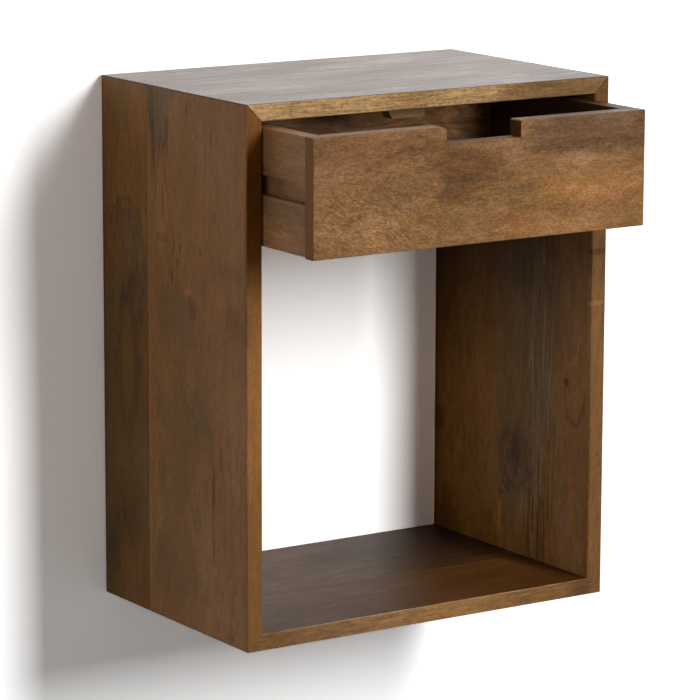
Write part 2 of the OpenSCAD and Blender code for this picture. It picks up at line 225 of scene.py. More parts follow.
# what every stained board shares; a pattern's numbers are its size in mm along and across the
# grain, then its depth
stain = {
    "cloud": (110.0, 46.0, 0.42),     # soft blotches where the stain took more or less
    "mottle": (24.0, 9.0, 0.16),      # silky mottling inside the blotches
    "fibre": (38.0, 1.1, 0.08),       # fine fibre lines, drawn 1.1 mm wide so that they show
    "pore": (15.0, 1.2, 0.50),        # clusters of long pores, drawn 1.2 mm wide so that they show
    "fleck": (6.0, 2.4, 0.08),        # little curls of lighter and darker wood
    "ring": (9.0, 0.08, 0.06),        # growth rings: width, depth of the bands, depth of the lines
    "bands": 0.8,                     # light and dark bands in one ring
    "uneven": (0.37, 2.2),            # how often the growth speeds up, and by how many rings
    "wander": (230.0, 60.0, 24.0),    # how the rings drift along the board
    "sway": (240.0, 90.0, 14.0),      # how the fibres bend
    "rim": (44.0, 16.0, 1.5),         # how the rims of knots and flames wobble
    "cool": (120.0, 34.0, 0.5),       # olive patches
    "coolBy": (0.70, 0.88, 1.0),
    "seedStep": (137.0, 71.0, 53.0),  # how far apart in the tree the boards were cut
    "spread": (0.42, 1.65),           # darkest and lightest stain against the board's own tone
    "faded": (0.10, 0.18),            # how far the darkest and the lightest stain turn to grey
    "edgePattern": (26.0, 2.2, 0.13),
    "endDepth": 0.6,                  # end grain drinks more stain
    "endTone": "a89684",
    "wornAndHighlightTone": "8f6234",             # stain rubbed thin on the arrises; a pale tone here also paints a highlight on them
    "wearAndHighlight": 0.35,
    "wornSize": (30.0, 8.0),
    "clusterSize": (80.0, 30.0),      # pores lie in clusters of this size
    "poreSink": 0.7,                  # pores sink in and are rougher than the face
    "poreRough": 0.16,
    "relief": (0.22, 0.00012),
    "roughness": 0.46,
    "sheenDrift": 0.03,
    "ior": 1.38,                      # oiled and thinly lacquered wood shines less than glass
    "gloss": 0.22,
    "streaks": (70.0, 5.0, 0.0),      # how much the sheen varies from streak to streak
    "mitre": 0.0,                     # how dark the glue line shows in a mitre
    "glueTone": "6a5a4c",
    "marks": (),
}
# what a mark has where it names nothing else
plainMark = {
    "weight": 0.8,                    # how fully it colours the wood
    "rough": 0.8,                     # how ragged its rim is
    "soft": 0.4,                      # how softly it ends
    "turn": 0.0,                      # degrees between its dashes and the grain
}
# the two ends of each step from nothing to full
steps = {
    "noise": {1: 0.3, 2: 0.7},        # nearly all of a cloudy pattern lies between these
    "swirl": {1: 0.0, 2: 2.6},        # rings are pushed aside this far round a knot
    "lateWood": {1: 0.45, 2: 1.0},    # the dark part of each ring
    "olive": {1: 0.46, 2: 0.64},
    "edge": {1: 0.45, 2: 0.85},       # how squarely a face looks the edge's way
    "endGrain": {1: 0.6, 2: 0.9},
    "arris": {1: 0.99, 2: 0.80},
    "worn": {1: 0.35, 2: 0.6, 3: 0.35, 4: 1.0},
    "glue": {1: 0.25, 2: 0.95},       # mm from the middle of the glue line
    "glueGap": {1: -400.0, 2: 0.0, 3: 0.35, 4: 1.0},  # the glue line is finer low on the case
    "dash": {1: 0.52, 2: 0.62},
    "wave": {1: -0.2, 2: 1.0},
    "pore": {1: 0.62, 2: 0.69},
    "cluster": {1: 0.45, 2: 0.62, 3: 0.15, 4: 1.0},
    "fleck": {1: 0.42, 2: 0.58},
}
smooth = {"interpolation_type": "SMOOTHSTEP"}
laidOver = {"data_type": "RGBA"}
stainedBy = {"data_type": "RGBA", "blend_type": "MULTIPLY"}


def stainedMango(name, look):
    # mango wood, sanded, stained walnut brown, satin lacquer: calm brown and olive zones, knots
    # and flames with crisp outlines, short dark pores, and a low sheen that turns grey where the
    # eye skims a face
    look = {**stain, **look}
    material, tree = newMaterial(name)
    here = addNode(tree, "TexCoord", out=3)
    millimetres = addNode(tree, "VectorMath", {"operation": "SCALE", "Scale": 1000.0}, {0: here})
    axis = addNode(tree, "SeparateXYZ", links={0: millimetres}).node.outputs
    along, across, through = (axis[letter] for letter in look["axes"])
    board = addNode(tree, "CombineXYZ", links={0: along, 1: across, 2: through})
    offset = tuple(look["seed"] * step for step in look["seedStep"])
    cut = addNode(tree, "VectorMath", {"operation": "ADD", 1: offset}, {0: board})
    # the fibres bend a little as they run along the board
    length, width, sway = look["sway"]
    bend = addNode(tree, "VectorMath", {"operation": "MULTIPLY", 1: (1 / length, 1 / width, 1 / width)},
                   {0: cut})
    bend = addNode(tree, "TexNoise", {"Scale": 1.0, "Detail": 1.0}, {"Vector": bend}, out=1)
    cut = addNode(tree, "VectorMath", {"operation": "MULTIPLY_ADD", 1: (0, sway, sway)},
                  {0: bend, 2: cut})

    def grainPattern(lengthMm, widthMm, detail=2.0, turn=0.0):
        # cloudy pattern stretched along the grain, or along scratches that cross it
        place = cut
        if turn:
            place = addNode(tree, "VectorRotate", {"rotation_type": "Z_AXIS", "Angle": math.radians(turn)},
                            {"Vector": board})
        squeeze = (1 / lengthMm, 1 / widthMm, 1 / widthMm)
        place = addNode(tree, "VectorMath", {"operation": "MULTIPLY", 1: squeeze}, {0: place})
        return addNode(tree, "TexNoise", {"Scale": 1.0, "Detail": detail}, {"Vector": place})

    # ovals, flames and patches that this board shows: how far each point is from each centre
    length, width, reach = look["rim"]
    wobble = addNode(tree, "VectorMath", {"operation": "MULTIPLY", 1: (1 / length, 1 / width, 1 / width)},
                     {0: cut})
    wobble = addNode(tree, "TexNoise", {"Scale": 1.0, "Detail": 5.0, "Roughness": 0.6},
                     {"Vector": wobble}, out=1)
    wobble = addNode(tree, "VectorMath", {"operation": "MULTIPLY_ADD", 1: (2 * reach,) * 3,
                                          2: (-reach,) * 3}, {0: wobble})
    distances = []
    for mark in look["marks"]:
        mark = {**plainMark, **mark}
        (l, w), (halfL, halfW), rough = mark["at"], mark["half"], mark["rough"]
        place = addNode(tree, "VectorMath", {"operation": "MULTIPLY_ADD", 1: (1 / halfL, 1 / halfW, 0),
                                             2: (-l / halfL, -w / halfW, 0)}, {0: board})
        place = addNode(tree, "VectorMath", {"operation": "MULTIPLY_ADD", 1: (rough, rough, 0)},
                        {0: wobble, 2: place})
        parts = addNode(tree, "SeparateXYZ", links={0: place}).node.outputs
        if "taper" in mark:
            narrow = addNode(tree, "MapRange", {1: -1.0, 2: 1.0, 3: 1.0, 4: 1.0 - mark["taper"]},
                             {0: parts["X"]})
            side = addNode(tree, "Math", {"operation": "DIVIDE"}, {0: parts["Y"], 1: narrow})
            place = addNode(tree, "CombineXYZ", links={0: parts["X"], 1: side})
        distance = addNode(tree, "VectorMath", {"operation": "LENGTH"}, {0: place}, out=1)
        distances.append((mark, distance, parts["X"]))

    # growth rings round the pith of the tree, drifting along the board and round the knots
    pithW, pithT = look["pith"]
    fromPith = addNode(tree, "VectorMath", {"operation": "MULTIPLY_ADD", 1: (0, 1, 1),
                                            2: (0, -pithW, -pithT)}, {0: board})
    radius = addNode(tree, "VectorMath", {"operation": "LENGTH"}, {0: fromPith}, out=1)
    wanderL, wanderW, wander = look["wander"]
    radius = addNode(tree, "Math", {"operation": "MULTIPLY_ADD", 1: wander * 2},
                     {0: grainPattern(wanderL, wanderW), 2: radius})
    for mark, distance, up in distances:
        if "swirl" in mark:
            push = addNode(tree, "MapRange", {**smooth, **steps["swirl"], 3: mark["swirl"], 4: 0.0},
                           {0: distance})
            radius = addNode(tree, "Math", {"operation": "ADD"}, {0: radius, 1: push})
    ringMm, bandDepth, lineDepth = look["ring"]
    often, rings = look["uneven"]
    uneven = addNode(tree, "TexNoise", {"noise_dimensions": "1D", "Scale": often / ringMm, "Detail": 1.0},
                     {"W": radius})
    phase = addNode(tree, "Math", {"operation": "MULTIPLY", 1: 1 / ringMm}, {0: radius})
    phase = addNode(tree, "Math", {"operation": "MULTIPLY_ADD", 1: rings}, {0: uneven, 2: phase})
    band = addNode(tree, "TexNoise", {"noise_dimensions": "1D", "Scale": look["bands"], "Detail": 2.0},
                   {"W": phase})
    line = addNode(tree, "Math", {"operation": "FRACT"}, {0: phase})
    line = addNode(tree, "MapRange", {**smooth, **steps["lateWood"]}, {0: line})

    # how light the stain came out: 0.5 is the board's own tone, however deep the patterns are
    cloudL, cloudW, cloudDepth = look["cloud"]
    cloud = grainPattern(cloudL, cloudW, 3.0)
    mottleL, mottleW, mottleDepth = look["mottle"]
    lightness = addNode(tree, "Math", {"operation": "MULTIPLY_ADD", 1: cloudDepth * 2,
                                       2: 0.5 - cloudDepth - bandDepth - mottleDepth + lineDepth * 0.25},
                        {0: cloud})
    lightness = addNode(tree, "Math", {"operation": "MULTIPLY_ADD", 1: bandDepth * 2},
                        {0: band, 2: lightness})
    lightness = addNode(tree, "Math", {"operation": "MULTIPLY_ADD", 1: mottleDepth * 2},
                        {0: grainPattern(mottleL, mottleW, 3.0), 2: lightness})
    lightness = addNode(tree, "Math", {"operation": "MULTIPLY_ADD", 1: -lineDepth},
                        {0: line, 2: lightness})
    tone = look["tone"]
    darkest, lightest = look["spread"]
    fadedDark, fadedLight = look["faded"]
    colour = addNode(tree, "ValToRGB", {"stops": (
        (0.0, linearColour(tone, darkest, fadedDark)), (0.5, linearColour(tone)),
        (1.0, linearColour(tone, lightest, fadedLight)))}, {0: lightness})
    coolL, coolW, coolDepth = look["cool"]
    cool = addNode(tree, "MapRange", {**smooth, **steps["olive"], 3: 0.0, 4: coolDepth},
                   {0: grainPattern(coolL, coolW, 3.0)})
    colour = addNode(tree, "Mix", {**stainedBy, 7: look["coolBy"] + (1.0,)}, {0: cool, 6: colour}, out=2)

    # faces: sanded golden edges, thirsty dark end grain, worn arrises, which with a pale worn tone are also
    # a painted highlight
    normal = addNode(tree, "TexCoord", out=1)
    facing = addNode(tree, "SeparateXYZ", links={0: normal}).node.outputs
    if "edge" in look:
        letter, sign = look["edge"]
        onEdge = addNode(tree, "Math", {"operation": "MULTIPLY", 1: sign}, {0: facing[letter]})
        onEdge = addNode(tree, "MapRange", {**smooth, **steps["edge"]}, {0: onEdge})
        edgeL, edgeW, edgeDepth = look["edgePattern"]
        edgeTone = addNode(tree, "ValToRGB", {"stops": (
            (0.32, linearColour(look["edgeTone"], 1 - edgeDepth)), (0.5, linearColour(look["edgeTone"])),
            (0.68, linearColour(look["edgeTone"], 1 + edgeDepth)))}, {0: grainPattern(edgeL, edgeW, 4.0)})
        colour = addNode(tree, "Mix", laidOver, {0: onEdge, 6: colour, 7: edgeTone}, out=2)
    endOn = addNode(tree, "Math", {"operation": "ABSOLUTE"}, {0: facing[look["axes"][0]]})
    endOn = addNode(tree, "MapRange", {**smooth, **steps["endGrain"], 3: 0.0, 4: look["endDepth"]},
                    {0: endOn})
    colour = addNode(tree, "Mix", {**stainedBy, 7: linearColour(look["endTone"])},
                     {0: endOn, 6: colour}, out=2)
    squareOn = addNode(tree, "VectorMath", {"operation": "ABSOLUTE"}, {0: normal})
    squareOn = addNode(tree, "SeparateXYZ", links={0: squareOn}).node.outputs
    most = addNode(tree, "Math", {"operation": "MAXIMUM"}, {0: squareOn["X"], 1: squareOn["Y"]})
    most = addNode(tree, "Math", {"operation": "MAXIMUM"}, {0: most, 1: squareOn["Z"]})
    wearAndHighlight = addNode(tree, "MapRange", {**smooth, **steps["arris"], 3: 0.0, 4: look["wearAndHighlight"]}, {0: most})
    patches = addNode(tree, "MapRange", {**smooth, **steps["worn"]}, {0: grainPattern(*look["wornSize"])})
    wearAndHighlight = addNode(tree, "Math", {"operation": "MULTIPLY"}, {0: wearAndHighlight, 1: patches})
    colour = addNode(tree, "Mix", {**laidOver, 7: linearColour(look["wornAndHighlightTone"])},
                     {0: wearAndHighlight, 6: colour}, out=2)

    if look["mitre"]:
        # the thin dark glue line where two boards meet at 45 degrees, finer at the bottom: along it
        # the height from the case's middle less the way to its side is always the same
        (left, _, bottom), (right, _, top) = (1000 * Vector(corner) for corner in cadBounds)
        caseMiddle = (top + bottom) / 2
        taller = ((top - bottom) - (right - left)) / 2
        sideways = addNode(tree, "Math", {"operation": "ABSOLUTE"}, {0: axis["X"]})
        upward = addNode(tree, "Math", {"operation": "SUBTRACT", 1: caseMiddle}, {0: axis["Z"]})
        upward = addNode(tree, "Math", {"operation": "ABSOLUTE"}, {0: upward})
        glue = addNode(tree, "Math", {"operation": "SUBTRACT"}, {0: upward, 1: sideways})
        glue = addNode(tree, "Math", {"operation": "SUBTRACT", 1: taller}, {0: glue})
        glue = addNode(tree, "Math", {"operation": "ABSOLUTE"}, {0: glue})
        glue = addNode(tree, "MapRange", {**smooth, **steps["glue"], 3: look["mitre"], 4: 0.0}, {0: glue})
        glue = addNode(tree, "Math", {"operation": "MULTIPLY"}, {0: glue, 1: patches})
        gap = addNode(tree, "MapRange", steps["glueGap"], {0: axis["Z"]})
        glue = addNode(tree, "Math", {"operation": "MULTIPLY"}, {0: glue, 1: gap})
        colour = addNode(tree, "Mix", {**stainedBy, 7: linearColour(look["glueTone"])},
                         {0: glue, 6: colour}, out=2)

    # the ovals, flames and patches themselves, some of them painted light and shade
    for mark, distance, up in distances:
        soft = mark["soft"]
        if "outline" in mark:
            # only a line along its rim, which may be open at one end
            width, opening = mark["outline"]
            rim = addNode(tree, "Math", {"operation": "SUBTRACT", 1: 1.0}, {0: distance})
            rim = addNode(tree, "Math", {"operation": "ABSOLUTE"}, {0: rim})
            factor = addNode(tree, "MapRange", {**smooth, 1: 0.0, 2: width, 3: mark["weight"], 4: 0.0},
                             {0: rim})
            if opening:
                closed = addNode(tree, "MapRange", {**smooth, 1: -0.5 * opening, 2: 0.4 * opening},
                                 {0: up})
                factor = addNode(tree, "Math", {"operation": "MULTIPLY"}, {0: factor, 1: closed})
        else:
            factor = addNode(tree, "MapRange", {**smooth, 1: 1.0 - soft, 2: 1.0 + soft,
                                                3: mark["weight"], 4: 0.0}, {0: distance})
        if "dash" in mark:
            dashes = grainPattern(*mark["dash"], 2.0, mark["turn"])
            dashes = addNode(tree, "MapRange", {**smooth, **steps["dash"]}, {0: dashes})
            factor = addNode(tree, "Math", {"operation": "MULTIPLY"}, {0: factor, 1: dashes})
        if "lines" in mark:
            wave = addNode(tree, "Math", {"operation": "MULTIPLY", 1: mark["lines"] * math.tau},
                           {0: distance})
            wave = addNode(tree, "Math", {"operation": "SINE"}, {0: wave})
            wave = addNode(tree, "MapRange", {**smooth, **steps["wave"]}, {0: wave})
            factor = addNode(tree, "Math", {"operation": "MULTIPLY"}, {0: factor, 1: wave})
        colour = addNode(tree, "Mix", {**stainedBy, 7: mark["by"] + (1.0,)}, {0: factor, 6: colour},
                         out=2)

    # fine grain over everything
    fibreL, fibreW, fibreDepth = look["fibre"]
    fibre = grainPattern(fibreL, fibreW, 3.0)
    fibreShade = addNode(tree, "MapRange", {**steps["noise"], 3: 1 - fibreDepth, 4: 1 + fibreDepth},
                         {0: fibre})
    poreL, poreW, poreDepth = look["pore"]
    pore = addNode(tree, "MapRange", {**smooth, **steps["pore"]}, {0: grainPattern(poreL, poreW)})
    clusters = addNode(tree, "MapRange", {**smooth, **steps["cluster"]},
                       {0: grainPattern(*look["clusterSize"])})
    pore = addNode(tree, "Math", {"operation": "MULTIPLY"}, {0: pore, 1: clusters})
    poreShade = addNode(tree, "Math", {"operation": "MULTIPLY_ADD", 1: -poreDepth, 2: 1.0}, {0: pore})
    fleckL, fleckW, fleckDepth = look["fleck"]
    fleckShade = addNode(tree, "MapRange", {**smooth, **steps["fleck"], 3: 1 - fleckDepth,
                                            4: 1 + fleckDepth}, {0: grainPattern(fleckL, fleckW)})
    shade = addNode(tree, "Math", {"operation": "MULTIPLY"}, {0: fibreShade, 1: poreShade})
    shade = addNode(tree, "Math", {"operation": "MULTIPLY"}, {0: shade, 1: fleckShade})
    colour = addNode(tree, "VectorMath", {"operation": "SCALE"}, {0: colour, "Scale": shade})

    # the sheen: it drifts with the blotches, runs in streaks and dulls in the pores
    streakL, streakW, streakDepth = look["streaks"]
    middle, drift = look["roughness"] - streakDepth / 2, look["sheenDrift"]
    roughness = addNode(tree, "MapRange", {**steps["noise"], 3: middle + drift, 4: middle - drift},
                        {0: cloud})
    roughness = addNode(tree, "Math", {"operation": "MULTIPLY_ADD", 1: streakDepth},
                        {0: grainPattern(streakL, streakW, 3.0), 2: roughness})
    roughness = addNode(tree, "Math", {"operation": "MULTIPLY_ADD", 1: look["poreRough"]},
                        {0: pore, 2: roughness})
    height = addNode(tree, "Math", {"operation": "MULTIPLY_ADD", 1: -look["poreSink"]}, {0: pore, 2: fibre})
    strength, distance = look["relief"]
    relief = addNode(tree, "Bump", {"Strength": strength, "Distance": distance}, {"Height": height})
    surface = addNode(tree, "BsdfPrincipled", {"IOR": look["ior"], "Specular IOR Level": look["gloss"]}, {
        "Base Color": colour, "Roughness": roughness, "Normal": relief})
    addNode(tree, "OutputMaterial", links={"Surface": surface})
    return material


# the figure on both boards of the right side, whose grain runs on across their joint, and painted
# shade over their upper part, under the drawer, and along their back beside the wall
rightFigureAndShade = (
    {"at": (-255, -236), "half": (300, 52), "by": (1.20, 1.28, 1.85), "weight": 0.9, "soft": 0.6,
     "rough": 0.5},
    {"at": (-255, -50), "half": (300, 86), "by": (0.84, 0.75, 0.56), "weight": 0.95, "soft": 0.35,
     "rough": 0.6},
    {"at": (-225, -153), "half": (200, 47), "by": (0.80, 0.95, 1.45), "weight": 0.9, "rough": 0.3,
     "soft": 0.3},
    {"at": (-270, -176), "half": (240, 26), "by": (0.48, 0.48, 0.50), "weight": 0.95,
     "dash": (200, 2.0), "rough": 0.3},
    {"at": (-230, -176), "half": (150, 22), "by": (1.6, 1.75, 2.1), "weight": 0.95, "dash": (150, 1.7),
     "rough": 0.3},
    {"at": (-402, -178), "half": (44, 16), "by": (0.42, 0.40, 0.42), "weight": 0.9, "dash": (50, 3.0)},
    {"at": (-402, -112), "half": (30, 7), "by": (1.5, 1.42, 1.3), "dash": (40, 3.0)},
    {"at": (-330, -110), "half": (110, 120), "by": (0.68, 0.62, 0.56), "weight": 0.7,
     "dash": (14, 3.5)},
    {"at": (-343, -138), "half": (32, 26), "by": (0.54, 0.50, 0.56), "weight": 0.85, "rough": 1.0,
     "soft": 0.45, "swirl": 22},
    {"at": (-343, -138), "half": (34, 27), "by": (0.42, 0.38, 0.42), "weight": 0.36, "rough": 0.75,
     "soft": 0.35, "lines": 1.7},
    {"at": (-350, -136), "half": (26, 20), "by": (1.6, 1.55, 1.5), "rough": 1.0, "soft": 0.3,
     "lines": 2.2},
    {"at": (-338, -138), "half": (15, 8), "by": (0.5, 0.44, 0.50), "weight": 0.9, "rough": 1.2},
    {"at": (-247, -140), "half": (14, 7), "by": (0.6, 0.6, 0.64), "weight": 0.7, "outline": (0.4, 0),
     "dash": (5, 2), "rough": 1.2},
    {"at": (-247, -140), "half": (5, 2), "by": (0.6, 0.6, 0.64), "weight": 0.7},
    # painted shade: the upper part under the drawer, and the strip along the back beside the wall, are
    # darkened
    {"at": (-80, -110), "half": (110, 175), "by": (0.20, 0.18, 0.16), "weight": 0.95, "soft": 0.85,
     "rough": 0.4},
    {"at": (-120, -5), "half": (130, 46), "by": (0.40, 0.35, 0.30), "weight": 0.9, "soft": 0.8,
     "rough": 0.4},
)


# both boards of the top, and both of the right side, were cut side by side from one plank
topWood = {
    "tone": "704f33", "axes": "XYZ", "seed": 7.7, "pith": (-200, -60), "roughness": 0.30,
    "gloss": 0.19, "ior": 1.41, "cool": (120.0, 34.0, 0.1), "ring": (6.0, 0.16, 0.12),
    "cloud": (110.0, 46.0, 0.20), "mottle": (50.0, 8.0, 0.16), "streaks": (70.0, 5.0, 0.22),
}
rightWood = {"tone": "ba8440", "gloss": 0.12, "axes": "ZYX", "seed": 15.4, "pith": (-60, 232)}
